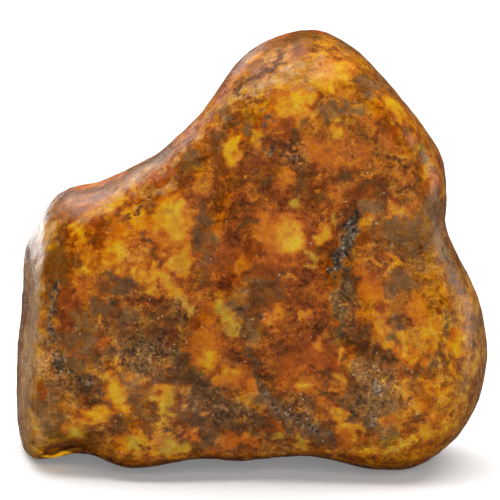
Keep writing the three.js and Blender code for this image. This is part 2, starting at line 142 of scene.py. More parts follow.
# Marks on the front, painted in this order. Each is its place across and up, in millimetres as
# seen from the camera on the upright plane through the middle, then its half width and half
# height, and its turn in degrees, anticlockwise, where it has one.
MARKS = (
    ("skin", (
        (-33.4, 22.9, 3.2, 5.2), (-38.7, 8.8, 3.6, 4.0), (-22.5, 27.3, 2.1, 1.5),
        (-4.6, 66.7, 2.3, 1.4, -40),
        (-0.3, 63.8, 1.2, 1.7), (-7.3, 52.2, 1.0, 1.0), (23.0, 71.9, 3.4, 2.0, -35),
        (17.8, 67.5, 3.4, 1.4, 10),
        (15.6, 66.7, 1.8, 1.4), (23.1, 48.3, 2.3, 1.3), (34.2, 46.3, 3.1, 4.0), (30.8, 43.3, 4.0, 3.4),
        (-2.0, 29.6, 1.7, 2.7), (16.8, 31.1, 1.0, 2.5), (23.5, 11.0, 5.8, 5.6),
        (39.0, 35.0, 1.6, 2.2, 20),
        (42.5, 23.8, 0.6, 3.3), (0.0, 24.8, 1.1, 2.7), (12.8, 4.0, 2.6, 1.2), (-32.5, 4.5, 2.6, 2.0),
    )),
    ("plum", (
        (-24.9, 34.2, 2.9, 1.9, 8), (-28.6, 29.2, 2.5, 1.9), (-11.2, 58.6, 1.9, 1.6),
        (-8.8, 43.8, 2.0, 5.4, 4),
        (-13.0, 19.1, 1.6, 1.7), (-13.8, 15.8, 1.6, 0.8), (-9.9, 11.4, 1.4, 1.5),
        (-9.1, 7.9, 5.0, 2.0, -10),
        (-7.9, 3.8, 2.2, 2.8), (-29.5, 9.6, 1.4, 0.5), (2.0, 73.8, 1.9, 1.0, 30), (10.5, 65.5, 0.8, 1.4),
        (25.7, 33.2, 1.2, 1.3), (28.8, 34.2, 2.8, 2.2), (31.7, 16.8, 1.5, 1.7), (35.1, 18.7, 1.2, 1.6),
        (41.5, 14.0, 0.6, 1.1), (32.1, 7.2, 1.1, 1.0), (30.9, 11.0, 0.6, 0.6), (28.4, 25.6, 1.2, 1.6),
        (-21.0, 12.5, 2.6, 2.4), (-12.8, 8.0, 2.0, 2.4), (-25.0, 7.0, 2.0, 1.4),
    )),
    # Painted highlights: these marks stand for the polish's reflections on the crown, along the ridge and
    # on the left end.
    ("painted_highlight", (
        (-38.1, 42.9, 1.3, 3.8, 8), (-40.5, 6.5, 0.6, 0.7), (0.6, 70.9, 2.7, 0.7, 30),
        (6.1, 73.2, 2.1, 1.0, 15), (9.8, 71.4, 2.4, 1.0, 20),
        (8.6, 75.8, 1.2, 2.2), (6.7, 77.4, 0.7, 0.7), (-3.5, 69.3, 1.3, 1.3),
        (-15.5, 52.5, 2.4, 1.1, 40), (12.5, 76.4, 1.0, 0.8), (34.5, 60.0, 0.6, 1.0),
    )),
    ("brown", (
        (-36.8, 37.8, 2.2, 5.2, 6), (-32.6, 37.8, 1.0, 1.3), (-30.5, 4.2, 1.0, 0.7),
        (2.4, 33.4, 3.4, 4.2), (-8.4, 36.0, 1.7, 2.6),
        (2.6, 26.8, 1.2, 1.7), (-6.2, 61.6, 1.2, 1.4), (1.0, 54.5, 0.6, 1.4), (9.3, 53.7, 1.5, 2.2),
        (12.9, 69.0, 0.9, 1.6), (28.8, 63.9, 1.5, 0.9), (28.7, 51.4, 1.0, 0.7), (24.6, 50.7, 0.9, 2.1),
        (32.3, 53.7, 1.1, 0.9), (11.1, 21.4, 1.4, 1.3), (37.5, 19.5, 0.7, 1.5), (20.8, 13.4, 1.5, 2.2),
        (15.6, 19.8, 3.2, 3.2), (24.0, 19.5, 2.6, 2.2),
    )),
    ("rust", (
        (-29.1, 44.1, 1.2, 3.3), (-14.8, 45.6, 1.0, 0.6), (-18.1, 45.8, 0.6, 1.7),
        (-12.3, 39.9, 1.0, 1.7),
        (-34.6, 30.8, 2.3, 1.8), (-35.1, 26.9, 1.4, 3.6), (-40.1, 12.9, 1.0, 1.8),
        (-10.1, 25.5, 1.2, 1.4),
        (-14.9, 23.0, 0.8, 1.4), (3.0, 36.7, 2.5, 1.5), (11.5, 42.0, 1.0, 1.7), (0.8, 57.4, 1.6, 1.0),
        (12.6, 69.8, 1.1, 1.0), (10.8, 20.8, 4.8, 2.4), (21.8, 51.5, 1.8, 1.8), (26.6, 50.7, 1.1, 1.0),
        (15.0, 21.6, 0.8, 1.1), (16.2, 19.6, 1.9, 2.0), (24.6, 29.2, 1.8, 1.6), (19.4, 24.2, 1.0, 0.7),
    )),
    ("ember", (
        (-15.9, 55.6, 4.2, 1.4, 42), (7.2, 41.8, 5.4, 5.4), (-15.6, 41.7, 3.0, 4.4, 10),
        (-15.4, 36.5, 1.6, 1.7),
        (-3.1, 39.3, 3.4, 3.0, 20), (4.5, 63.5, 3.4, 2.4, 20), (-10.8, 61.2, 0.8, 0.8),
        (-8.3, 63.0, 1.0, 0.9),
        (1.8, 67.3, 0.6, 0.6), (0.5, 77.6, 0.7, 0.7), (11.6, 67.7, 0.7, 1.2), (26.8, 61.7, 2.2, 2.2),
        (35.2, 54.1, 1.9, 2.0), (22.8, 33.5, 2.2, 2.8, 12), (12.7, 32.3, 1.4, 1.3),
        (-6.9, 16.4, 2.0, 0.5),
        (7.5, 23.5, 1.2, 1.7), (6.6, 17.3, 1.2, 2.2), (11.0, 18.8, 4.4, 1.8), (4.3, 6.8, 2.1, 1.5, -30),
        (-33.6, 21.0, 0.9, 0.9), (-22.1, 6.6, 2.1, 0.8), (-19.3, 24.3, 0.9, 0.5), (15.5, 26.5, 1.0, 1.1),
        (27.6, 17.8, 1.9, 0.5), (34.9, 10.2, 1.0, 1.0), (15.7, 9.9, 0.7, 1.2),
    )),
    ("orange", (
        (-28.8, 22.9, 1.6, 0.9), (-32.0, 11.9, 0.9, 1.1), (-39.4, 27.6, 1.0, 0.7),
        (-37.6, 19.4, 0.7, 1.1),
        (-25.1, 44.7, 1.0, 1.5), (-29.7, 33.8, 1.9, 1.5), (-32.4, 32.7, 1.2, 2.1),
        (-28.0, 36.5, 1.0, 0.8),
        (3.3, 43.9, 2.3, 4.2), (-1.5, 64.1, 0.8, 0.8), (4.5, 66.1, 1.0, 2.0), (13.5, 59.0, 3.2, 2.8),
        (5.6, 58.4, 0.5, 1.0), (6.3, 54.2, 0.9, 1.5), (24.8, 66.7, 1.1, 1.0), (21.8, 65.9, 1.1, 1.1),
        (26.2, 61.0, 1.1, 1.1), (21.5, 58.3, 1.9, 1.1), (17.7, 59.0, 1.1, 1.8),
        (17.9, 51.2, 1.6, 1.2, -12),
        (21.4, 37.4, 1.4, 2.1), (23.3, 32.7, 1.9, 2.3), (-8.4, 28.8, 2.4, 2.5), (-8.1, 20.9, 3.6, 3.6),
        (-1.1, 15.7, 2.2, 2.7), (-19.1, 1.9, 0.7, 0.5), (-2.4, 2.9, 3.2, 1.4), (21.4, 27.4, 1.1, 1.0),
        (13.8, 17.8, 0.9, 1.0), (10.5, 13.4, 2.8, 1.7), (13.6, 9.9, 1.2, 1.2), (18.6, 3.3, 2.7, 1.5),
        (33.5, 9.1, 1.6, 1.4), (27.4, 7.7, 1.7, 1.0), (36.4, 14.8, 1.3, 0.7),
    )),
    ("amber", (
        (-35.5, 22.0, 0.5, 0.7), (-33.4, 5.6, 1.0, 1.6), (-40.1, 1.2, 1.0, 0.7), (-24.6, 2.1, 1.0, 1.6),
        (-30.5, 40.1, 1.4, 1.9), (-19.7, 29.6, 1.4, 0.6), (-36.3, 25.6, 0.6, 1.3),
        (-23.1, 20.4, 1.0, 0.6),
        (-21.5, 22.1, 0.8, 0.5), (-15.5, 17.3, 0.8, 0.6), (-21.9, 15.5, 1.0, 1.2), (-11.2, 4.2, 1.0, 1.2),
        (-8.7, 8.6, 1.4, 0.5), (-4.8, 9.3, 1.2, 0.5), (-5.3, 14.2, 3.0, 1.2), (1.0, 8.6, 1.2, 0.9),
        (-1.3, 38.2, 1.6, 1.7), (10.4, 27.5, 1.1, 1.1), (4.8, 27.4, 1.0, 2.0), (7.3, 34.0, 1.9, 0.8),
        (0.9, 22.3, 0.5, 0.6), (-4.0, 51.0, 0.6, 0.5), (-6.6, 49.3, 0.8, 1.0), (16.6, 62.7, 0.7, 1.2),
        (21.8, 66.2, 0.7, 0.6), (30.8, 61.9, 0.8, 0.7), (29.0, 61.4, 0.5, 1.1), (17.9, 70.7, 1.1, 0.8),
        (28.9, 54.9, 2.3, 1.2, -18), (30.7, 50.0, 0.7, 0.8), (32.3, 28.7, 1.6, 1.8),
        (13.9, 22.2, 1.0, 1.1), (-8.5, 53.0, 2.4, 1.4, 40),
    )),
    ("gold", (
        (-36.2, 25.4, 0.5, 0.5), (-26.1, 22.5, 0.8, 0.6), (-25.7, 12.2, 2.1, 2.2),
        (-30.4, 8.0, 3.2, 2.0, -8),
        (-25.7, 40.3, 2.0, 2.9), (-21.2, 46.0, 1.6, 2.3), (-32.6, 43.3, 1.0, 2.5),
        (-24.9, 49.4, 1.6, 1.9),
        (-22.2, 53.4, 1.8, 1.7), (-15.0, 46.2, 3.7, 4.2, 10), (-13.1, 38.9, 1.8, 3.0),
        (-29.5, 26.4, 0.8, 0.8),
        (7.8, 42.8, 3.0, 4.0), (13.3, 44.1, 1.2, 1.7), (22.9, 38.6, 0.9, 1.1), (26.6, 38.2, 1.2, 1.7),
        (27.4, 48.3, 1.2, 1.7), (22.9, 45.4, 1.2, 0.8), (25.7, 25.2, 1.2, 1.6), (26.8, 20.9, 1.9, 1.6),
        (18.1, 20.4, 1.0, 1.1), (10.5, 27.5, 1.0, 1.0), (-9.2, 29.4, 1.1, 1.0), (-8.3, 18.9, 2.0, 1.8),
        (-3.8, 16.1, 1.5, 1.2), (-16.8, 13.3, 1.8, 1.3), (-12.4, 11.3, 0.6, 0.5), (-12.4, 9.6, 0.6, 0.5),
        (-20.7, 1.8, 3.6, 2.1), (-15.8, 4.4, 1.1, 0.5), (-13.9, 5.8, 0.9, 0.5), (29.5, 24.5, 1.5, 1.0),
        (35.0, 24.0, 1.6, 2.5), (30.7, 20.2, 1.7, 1.4), (16.8, 16.5, 1.1, 1.6), (9.4, 13.4, 1.2, 1.0),
        (15.4, 12.9, 1.3, 1.0), (16.9, 8.5, 1.7, 1.2), (19.0, 5.8, 2.3, 1.0), (20.9, 5.0, 1.1, 1.2),
        (24.4, 1.8, 1.2, 1.0), (35.0, 5.5, 1.8, 1.5), (35.9, 13.1, 2.8, 0.8), (30.6, 12.2, 1.3, 0.7),
        (37.6, 8.0, 0.8, 0.7), (40.1, 21.9, 1.5, 2.6), (38.8, 17.8, 1.1, 0.7), (36.8, 32.4, 1.1, 1.3),
        (38.0, 28.5, 0.7, 2.4), (-2.6, 59.8, 1.7, 2.4), (1.9, 62.0, 1.2, 2.2), (8.2, 68.7, 3.4, 2.2),
        (14.0, 72.9, 1.9, 1.7), (4.7, 63.0, 0.8, 0.7), (6.6, 61.8, 0.5, 0.6), (-2.1, 55.2, 0.6, 0.7),
        (-0.5, 53.2, 0.6, 0.5), (16.7, 74.5, 2.9, 1.6), (27.9, 67.7, 2.0, 2.7, 30),
        (16.9, 62.7, 1.0, 1.4),
        (24.5, 57.6, 0.5, 0.6), (21.6, 54.6, 0.7, 0.7), (35.4, 54.8, 0.8, 0.7), (28.3, 48.1, 2.0, 1.6),
    )),
    ("yellow", (
        (-25.7, 12.2, 1.5, 1.6), (-30.3, 8.1, 1.8, 1.2), (-14.8, 48.1, 2.4, 2.2), (-25.1, 39.1, 1.3, 1.7),
        (8.2, 42.0, 1.9, 1.6, 30), (31.1, 2.9, 1.8, 1.1), (15.6, 71.9, 1.0, 1.3), (9.2, 68.8, 2.2, 1.7),
        # The last yellow mark, under the left foot, is a painted glow: light from the floor shining through
        # the narrow edge.
        (19.9, 60.4, 0.8, 0.8), (28.0, 48.5, 0.8, 0.6), (-38.0, 1.2, 2.2, 0.9),
    )),
    ("olive", (
        (-32.6, 4.2, 1.8, 1.5), (-38.8, 23.7, 0.6, 1.1), (-16.7, 11.2, 2.1, 1.8), (-15.5, 9.1, 1.0, 1.3),
        (-11.0, 14.9, 1.2, 0.7), (-14.3, 2.0, 2.5, 1.5), (-22.3, 1.6, 1.9, 1.7), (-17.3, 7.4, 1.0, 0.6),
        (5.9, 4.3, 1.6, 0.8), (10.2, 2.8, 2.4, 1.0), (27.4, 0.8, 2.2, 1.0), (-4.5, 28.7, 1.8, 2.0),
        (-3.2, 25.2, 1.5, 1.9), (12.5, 39.0, 0.8, 1.3), (15.8, 46.4, 1.2, 1.1), (9.0, 50.2, 1.0, 1.1),
        (2.0, 77.2, 1.0, 1.1),
    )),
    ("moss", (
        (-21.6, 22.8, 3.0, 0.9), (-21.0, 18.7, 2.7, 1.3), (-18.7, 27.2, 0.9, 0.5), (28.1, 22.9, 1.5, 0.6),
        (27.2, 4.2, 1.6, 1.1), (32.2, 59.0, 1.4, 1.3), (37.0, 40.0, 1.6, 0.9, -50),
        (38.3, 26.1, 0.5, 3.3),
        (43.6, 26.8, 0.6, 3.6),
    )),
    ("umber", (
        (-35.6, 7.8, 0.8, 1.6), (-35.7, 13.7, 0.9, 0.7), (-41.1, 1.9, 0.7, 1.1), (-42.5, 40.1, 0.6, 1.1),
        (-20.1, 42.9, 0.6, 0.6), (-0.1, 47.0, 1.9, 0.8), (20.4, 33.8, 0.8, 1.5), (-12.1, 21.2, 0.7, 1.3),
        (-20.0, 1.1, 0.6, 0.7), (-17.6, 1.4, 0.7, 0.8), (-8.7, 13.3, 0.6, 0.5), (21.8, 24.1, 1.5, 1.1),
        (13.3, 12.0, 0.7, 0.6), (29.0, 10.8, 0.5, 0.6), (26.9, 18.9, 1.0, 0.7), (8.4, 62.4, 1.0, 1.0),
        (5.6, 60.3, 0.7, 0.7), (3.9, 54.3, 0.8, 1.2), (19.7, 72.2, 1.0, 0.6), (18.3, 54.9, 1.5, 1.2),
        (22.5, 52.2, 1.3, 0.8), (13.7, 51.3, 0.7, 0.8),
    )),
    ("slate", (
        (16.5, 37.3, 0.9, 0.9), (24.0, 13.6, 1.0, 1.2), (24.0, 6.9, 1.0, 1.1), (8.3, 58.5, 1.1, 1.1),
    )),
)

# Strokes on the front: a paint, the half widths at both ends, how deep the stone is grooved there
# as a share of the full groove, and the points that the stroke passes.
STROKES = (
    # The first two strokes are painted highlights along the ridge and over the crown.
    ("painted_highlight", 0.5, 0.9, 0.0, ((-13.2, 62.6), (-8.1, 66.4), (-3.0, 69.8))),
    ("painted_highlight", 1.0, 1.3, 0.0, ((-3.0, 69.8), (0.1, 71.2), (3.6, 72.2), (6.3, 74.0), (8.7, 75.4))),
    ("brown", 0.8, 0.6, 0.3, (
        (5.3, 77.9), (6.2, 76.7), (4.3, 75.4), (1.6, 74.2), (-0.3, 73.2), (-1.9, 71.6), (-2.7, 70.6))),
    ("amber", 1.0, 0.9, 0.0, ((1.4, 77.9), (-2.3, 73.6), (-4.8, 71.2), (-6.7, 68.9))),
    ("slate", 0.4, 0.5, 0.3, ((2.8, 67.7), (3.5, 64.9), (3.0, 61.8), (3.9, 59.8))),
    ("plum", 0.4, 0.4, 0.1, ((-2.3, 65.5), (-4.4, 63.3), (-6.4, 61.8))),
    ("brown", 0.4, 0.3, 0.3, (
        (19.8, 64.3), (20.9, 63.7), (23.8, 60.8), (26.8, 58.1), (29.6, 56.8), (31.8, 54.6))),
    # These two strokes are painted highlights along the upper left ridge.
    ("painted_highlight", 1.0, 1.3, 0.0, ((-32.0, 46.0), (-28.0, 48.6), (-23.6, 52.6), (-19.0, 56.6))),
    ("painted_highlight", 0.7, 0.9, 0.0, ((-16.5, 55.6), (-12.5, 59.4), (-9.6, 62.4))),
    ("gold", 0.9, 0.8, 0.0, ((-22.4, 37.0), (-18.7, 31.9))),
    ("gold", 1.3, 1.4, 0.0, ((-18.3, 37.0), (-11.7, 30.2))),
    ("brown", 0.3, 0.3, 0.5, ((-18.7, 51.3), (-20.4, 49.6), (-22.0, 47.1), (-23.7, 44.1))),
    ("plum", 0.5, 0.6, 0.2, ((-19.9, 42.9), (-18.7, 40.3), (-17.0, 38.2))),
    ("slate", 1.5, 1.2, 0.6, ((20.0, 46.2), (18.7, 42.4), (17.9, 40.3), (16.2, 36.9))),
    ("moss", 1.0, 1.2, 0.4, ((18.7, 35.3), (18.3, 32.7), (17.5, 29.4), (17.7, 26.8), (17.5, 24.3))),
    ("umber", 0.8, 0.4, 0.9, ((17.7, 23.9), (20.0, 22.6), (22.0, 22.2), (24.1, 20.1))),
    ("slate", 0.6, 0.6, 0.3, ((-36.9, 34.0), (-37.6, 29.0), (-38.0, 24.7), (-36.9, 20.4), (-34.1, 16.5))),
    ("slate", 0.5, 0.6, 0.2, ((-34.1, 16.5), (-31.3, 14.7), (-28.1, 12.2))),
    ("gold", 0.5, 0.5, 0.0, ((-28.3, 15.8), (-26.7, 17.1), (-25.5, 18.3))),
    ("moss", 0.8, 0.9, 0.2, ((-39.6, 6.9), (-38.0, 4.7), (-35.9, 3.3))),
    ("umber", 0.6, 0.6, 0.3, ((-4.0, 30.4), (-2.3, 29.6), (-1.5, 27.9))),
    ("skin", 0.5, 0.6, 0.1, ((-1.7, 27.1), (-0.9, 22.1), (0.8, 18.3), (1.4, 15.0))),
    ("plum", 0.9, 1.4, 0.2, ((-12.4, 16.2), (-9.6, 13.2), (-6.0, 11.2), (-1.6, 9.4), (3.4, 6.4))),
    ("plum", 0.7, 2.0, 0.2, ((1.4, 17.5), (2.0, 14.1), (2.8, 12.0), (5.1, 10.0), (7.8, 7.9))),
    ("plum", 2.0, 1.6, 0.2, ((7.8, 7.2), (11.1, 5.8), (15.0, 3.5))),
    ("slate", 0.4, 0.8, 0.4, ((1.6, 16.5), (2.6, 12.6), (6.0, 9.2), (9.6, 6.8), (14.2, 4.2))),
    ("umber", 0.5, 0.5, 0.4, ((-13.0, 28.3), (-12.6, 26.3))),
    ("moss", 0.9, 0.6, 0.3, ((-14.9, 21.0), (-12.2, 17.1), (-8.9, 15.0), (-6.0, 12.7))),
    ("umber", 0.4, 0.3, 0.4, ((18.2, 9.7), (20.8, 8.5))),
    ("umber", 0.3, 0.3, 0.3, ((23.2, 5.3), (25.7, 4.0))),
)

# Where the surface is rough with small crystals and hollows: places and shapes as for the marks.
ROUGH_PATCHES = (
    (-20.5, 20.5, 6.0, 4.0, -12), (-16.8, 21.4, 2.4, 3.0), (-13.5, 28.3, 2.0, 3.0),
    (18.4, 41.5, 2.4, 5.0, 6), (18.2, 31.0, 2.6, 5.0), (8.2, 58.8, 3.0, 3.0), (24.2, 12.5, 4.4, 6.0),
    (9.0, 8.2, 7.0, 2.6, -32), (-5.2, 9.8, 7.0, 2.6, -14), (-36.0, 17.0, 2.6, 4.0, 30),
    (37.2, 39.4, 2.6, 1.8, -50),
)

# Where a glow is painted on as emission, standing for the light from the floor that shines through the
# stone's narrow edge: places and shapes.
PAINTED_GLOW_PLACES = ((-37.0, 0.5, 3.0, 0.6, 10),)

WARP = (4.5, 0.8)     # mm, how long the waves of a painted edge are, and how far they wander
FRAYS = ((1.8, 0.8), (0.9, 0.4))  # mm, the same for the fraying of the edge
WARP_SHIFT = 3        # these keep the waves and the frays apart in the noise
FRAY_SHIFT = 5
EDGE_SEED = 4         # for how the painted edges wander
MARK_SOFTNESS = 0.32  # share of a mark's half size over which it fades, inside its rim and outside
STROKE_SOFTNESS = 0.4
ZONE_SOFTNESS = 0.9
MARK_DEPTH = 1.6      # how deep a mark goes into the stone, in its own mean half sizes
BASE_TONE = 0.44      # the stone where nothing is painted on it
BASE_RED = 0.4
ROUGH_SHARE = 0.55    # how rough the stone is in a rough patch, against a slaty vein
HOLLOW_REACH = 6      # rounds of smoothing that the relief is measured against
HOLLOW_DEPTH = 0.12   # mm, how deep a full hollow is

# Marks scattered over the sides and the back: paints, each with its share of the marks and its
# mean half size in millimetres, then how far one mark's size and stretch stray from the mean.
BACK_MARKS = 560
BACK_SEED = 7
BACK_SOFTNESS = 0.75
BACK_FACING = -0.05   # how far a place has to face backwards to be the middle of such a mark
BACK_PAINTS = (
    ("skin", 0.13, 5.0), ("plum", 0.12, 4.0), ("brown", 0.10, 4.0), ("rust", 0.10, 3.2),
    ("ember", 0.12, 2.8), ("orange", 0.10, 2.4), ("amber", 0.11, 2.2), ("gold", 0.13, 1.9),
    ("yellow", 0.03, 1.2), ("olive", 0.04, 1.5), ("slate", 0.02, 1.4),
)
BACK_SIZES = (0.5, 1.2)
BACK_STRETCHES = (0.7, 1.4)


def view_point(distance, elevation):
    """The place that looks at the stone's middle from the front, so far off and so far above."""
    back = Vector((0, -math.cos(elevation), math.sin(elevation)))
    return Vector(STONE_MIDDLE) + back * distance


def srgb(red, green, blue):
    """A colour given as on a screen, 0 to 255, as the linear colour that materials take."""
    shares = (value / 255 for value in (red, green, blue))
    linear = (s / 12.92 if s <= 0.04045 else ((s + 0.055) / 1.055) ** 2.4 for s in shares)
    return (*linear, 1.0)


# --- Settings -----------------------------------------------------------------------------------


def length_setting(name, default, description):
    """A setting that is a length."""
    return FloatProperty(
        name=name, description=description, default=default, unit="LENGTH", subtype="DISTANCE")


def share_setting(name, default, description):
    """A setting from 0 to 1."""
    return FloatProperty(
        name=name, description=description, default=default, min=0, max=1, subtype="FACTOR")


class StoneSettings(bpy.types.PropertyGroup):
    """What the stone's surface and finish are made from."""

    subdivisions: IntProperty(
        name="Subdivisions", description="How often the packed solid is smoothed and divided",
        default=2, min=1, max=2)
    ripple_size: length_setting("Ripple size", 6 * MM, "Width of the soft unevenness that tumbling leaves")
    ripple_height: length_setting("Ripple height", 0.5 * MM, "Height of the soft unevenness")
    grain_size: length_setting("Grain size", 1.8 * MM, "Width of the fine pitting of the polish")
    grain_height: length_setting("Grain height", 0.2 * MM, "Height of the fine pitting")
    crystal_size: length_setting("Crystal size", 0.9 * MM, "Width of the crystals in the rough veins")
    crystal_height: length_setting("Crystal height", 0.25 * MM, "Height of the crystals in the rough veins")
    groove_depth: length_setting("Groove depth", 0.5 * MM, "Depth of the cracks and seams")
    roughness: share_setting("Roughness", 0.26, "How dull the polish is")
    translucency: share_setting("Translucency", 0.15, "How much light passes under the surface")
    glow_depth: length_setting("Glow depth", 2 * MM, "How far light spreads under the surface")


class StageSettings(bpy.types.PropertyGroup):
    """The floor, the lights and the camera."""

    floor_size: length_setting("Floor size", 8.0, "Side of the square floor")
    camera_distance: length_setting(
        "Camera distance", VIEW_DISTANCE, "From the camera to the stone's middle")
    camera_elevation: FloatProperty(
        name="Camera elevation", description="Angle of the camera above the floor",
        default=VIEW_ELEVATION, unit="ROTATION", subtype="ANGLE")
    camera_lens: FloatProperty(
        name="Lens", description="Focal length on a 36 mm sensor, in millimetres", default=196.35)
    floor_shine: share_setting("Floor shine", 0.03, "How bright the polish mirrors the floor")
    floor_bounce: share_setting(
        "Floor bounce", 0.5, "How much of its light the floor throws back on the stone")


# --- Mesh ---------------------------------------------------------------------------------------

WELD_DISTANCE = 0.001 * MM
CLOUD_DEPTH = 2       # how much finer detail a cloudy texture has
LEAST_WEIGHT = 0.01   # below this a vertex isn't moved
BED_SIZE = 2          # the rough bed under the crystals, against their own size and height
BED_HEIGHT = 1.5


def select_only(thing):
    """Selects one object, makes it active and lets go of everything else."""
    bpy.ops.object.select_all(action="DESELECT")
    thing.select_set(True)
    bpy.context.view_layer.objects.active = thing


def copy_of_node(node, name):
    """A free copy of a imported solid, with its loose triangles joined."""
    select_only(frame["nodes"][node])
    bpy.ops.object.duplicate()
    bpy.ops.object.parent_clear(type="CLEAR_KEEP_TRANSFORM")
    copy = bpy.context.active_object
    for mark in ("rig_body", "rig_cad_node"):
        del copy[mark]
    copy.name = name
    copy.data.name = name
    copy.data.materials.clear()
    bpy.ops.object.mode_set(mode="EDIT")
    bpy.ops.mesh.select_all(action="SELECT")
    bpy.ops.mesh.remove_doubles(threshold=WELD_DISTANCE)
    bpy.ops.mesh.customdata_custom_splitnormals_clear()
    bpy.ops.object.mode_set(mode="OBJECT")
    return copy


def apply_subdivision(stone, levels):
    """Smooths and divides the whole mesh."""
    smoother = stone.modifiers.new("Smooth form", "SUBSURF")
    smoother.levels = smoother.render_levels = levels
    bpy.ops.object.modifier_apply(modifier=smoother.name)


def apply_relief(stone, name, texture, height, weights=""):
    """Raises and lowers the surface by a texture, as much as the named vertex group says."""
    relief = stone.modifiers.new(name, "DISPLACE")
    if texture:
        relief.texture = texture
        relief.texture_coords = "LOCAL"
    relief.mid_level = 0.5 if texture else 0.0
    relief.strength = height
    relief.vertex_group = weights
    bpy.ops.object.modifier_apply(modifier=relief.name)


def cloud_texture(name, size):
    """A cloudy texture whose features are about so wide."""
    texture = bpy.data.textures.new(name, "CLOUDS")
    texture.noise_scale = size
    texture.noise_depth = CLOUD_DEPTH
    return texture


def crystal_texture(name, size):
    """A texture of flat-sided cells about so wide."""
    texture = bpy.data.textures.new(name, "VORONOI")
    texture.noise_scale = size
    texture.distance_metric = "DISTANCE"
    return texture


def positions(mesh):
    """The places of all vertices, in millimetres."""
    found = np.empty(len(mesh.vertices) * 3, np.float32)
    mesh.vertices.foreach_get("co", found)
    return found.reshape(-1, 3).astype(float) / MM


def keep_in_box(mesh, box):
    """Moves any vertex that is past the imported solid's box back to it."""
    lowest, highest = (np.array(corner) / MM for corner in box)
    inside = np.clip(positions(mesh), lowest, highest) * MM
    mesh.vertices.foreach_set("co", inside.astype(np.float32).ravel())
    mesh.update()


def add_weights(stone, name, shares):
    """A vertex group from one weight for each vertex."""
    group = stone.vertex_groups.new(name=name)
    for index in np.nonzero(shares > LEAST_WEIGHT)[0]:
        group.add([int(index)], float(shares[index]), "REPLACE")


# --- Painting -----------------------------------------------------------------------------------


def wander(points, size, reach, shift):
    """Noise that pushes each point about, mostly by less than the reach, in waves about the size."""
    offset = Vector((shift, shift * 2.0, shift * 3.0))
    moved = [noise.noise_vector(Vector(point) / size + offset) for point in points]
    return np.array(moved) * reach * 2


def soft_step(values):
    """A smooth ramp from 0 to 1, flat at both ends."""
    shares = np.clip(values, 0, 1)
    return shares * shares * (3 - 2 * shares)


def store_layer(mesh, name, values):
    """Keeps a value for each vertex on the mesh, for the material to read."""
    layer = mesh.attributes.new(name, "FLOAT", "POINT")
    layer.data.foreach_set("value", values.astype(np.float32))


def paint_over(layers, paint, cover):
    """Covers the layers with a paint, as far as the cover says at each vertex."""
    for name, value in zip(LAYERS, PAINTS[paint]):
        layers[name] += (value - layers[name]) * cover
    if paint in HALOED:
        edge = 4 * cover * (1 - cover)
        layers["red"] += HALO * edge


def fade(reach, softness):
    """1 inside a shape whose rim lies at a reach of 1, and softly down to 0 across that rim."""
    return soft_step((1 + softness - reach) / (2 * softness))


def mark_cover(places, centre, half_width, half_height, turn=0, softness=MARK_SOFTNESS):
    """How much a soft round mark about a centre covers each place."""
    offset = places - centre
    cosine, sine = math.cos(math.radians(turn)), math.sin(math.radians(turn))
    along = offset[:, 0] * cosine + offset[:, 2] * sine
    across = offset[:, 2] * cosine - offset[:, 0] * sine
    depth = (half_width + half_height) / 2 * MARK_DEPTH
    reach = np.sqrt((along / half_width) ** 2 + (across / half_height) ** 2 + (offset[:, 1] / depth) ** 2)
    return fade(reach, softness)


def stroke_cover(places, points, start_width, end_width):
    """How much a soft stroke through the points covers each place."""
    cover = np.zeros(len(places))
    joints = len(points) - 1
    for step, (start, end) in enumerate(zip(points, points[1:])):
        line = end - start
        share = np.clip((places - start) @ line / (line @ line), 0, 1)
        distance = np.linalg.norm(places - start - share[:, None] * line, axis=1)
        width = start_width + (end_width - start_width) * (step + share) / joints
        cover = np.maximum(cover, fade(distance / width, STROKE_SOFTNESS))
    return cover


def front_point(finder, across, up):
    """Where the line of sight through a place on the upright plane through the middle meets the stone."""
    eye = view_point(VIEW_DISTANCE, VIEW_ELEVATION)
    aim = Vector((across * MM, 0, up * MM))
    hit = finder.ray_cast(eye, (aim - eye).normalized())[0]
    if hit is None:
        hit = finder.find_nearest(aim)[0]
    return np.array(hit) / MM


def patches_cover(finder, warped, patches):
    """How much any of the patches covers each place."""
    cover = np.zeros(len(warped))
    for across, up, *shape in patches:
        cover = np.maximum(cover, mark_cover(warped, front_point(finder, across, up), *shape))
    return cover


def paint_zones(layers, finder, warped):
    """Paints the broad zones of the front."""
    for tone, red, skin, (across, up, *shape) in ZONES:
        centre = front_point(finder, across, up)
        cover = mark_cover(warped, centre, *shape, softness=ZONE_SOFTNESS)
        for name, value in (("tone", tone), ("red", red), ("skin", skin)):
            layers[name] += (value - layers[name]) * cover


def scatter_marks(layers, mesh, places, warped):
    """Scatters marks of every paint over the sides and the back."""
    chance = np.random.default_rng(BACK_SEED)
    facing = np.array([vertex.normal.y for vertex in mesh.vertices])
    free = np.nonzero(facing > BACK_FACING)[0]
    names, shares, sizes = zip(*BACK_PAINTS)
    picks = np.sort(chance.choice(len(names), BACK_MARKS, p=np.array(shares) / sum(shares)))
    for pick in picks:
        size = sizes[pick] * chance.uniform(*BACK_SIZES)
        centre = places[free[chance.integers(len(free))]]
        stretch = chance.uniform(*BACK_STRETCHES)
        turn = chance.uniform(-90, 90)
        cover = mark_cover(warped, centre, size * stretch, size / stretch, turn, BACK_SOFTNESS)
        paint_over(layers, names[pick], cover)


def paint_marks(layers, finder, warped):
    """Paints the marks on the front."""
    for paint, marks in MARKS:
        for across, up, *shape in marks:
            centre = front_point(finder, across, up)
            paint_over(layers, paint, mark_cover(warped, centre, *shape))


def paint_strokes(layers, finder, frayed):
    """Paints the strokes on the front, and gives back where and how deep they are grooved."""
    grooved = np.zeros(len(frayed))
    for paint, start_width, end_width, depth, points in STROKES:
        route = [front_point(finder, across, up) for across, up in points]
        cover = stroke_cover(frayed, route, start_width, end_width)
        paint_over(layers, paint, cover)
        grooved = np.maximum(grooved, cover * depth)
    return grooved


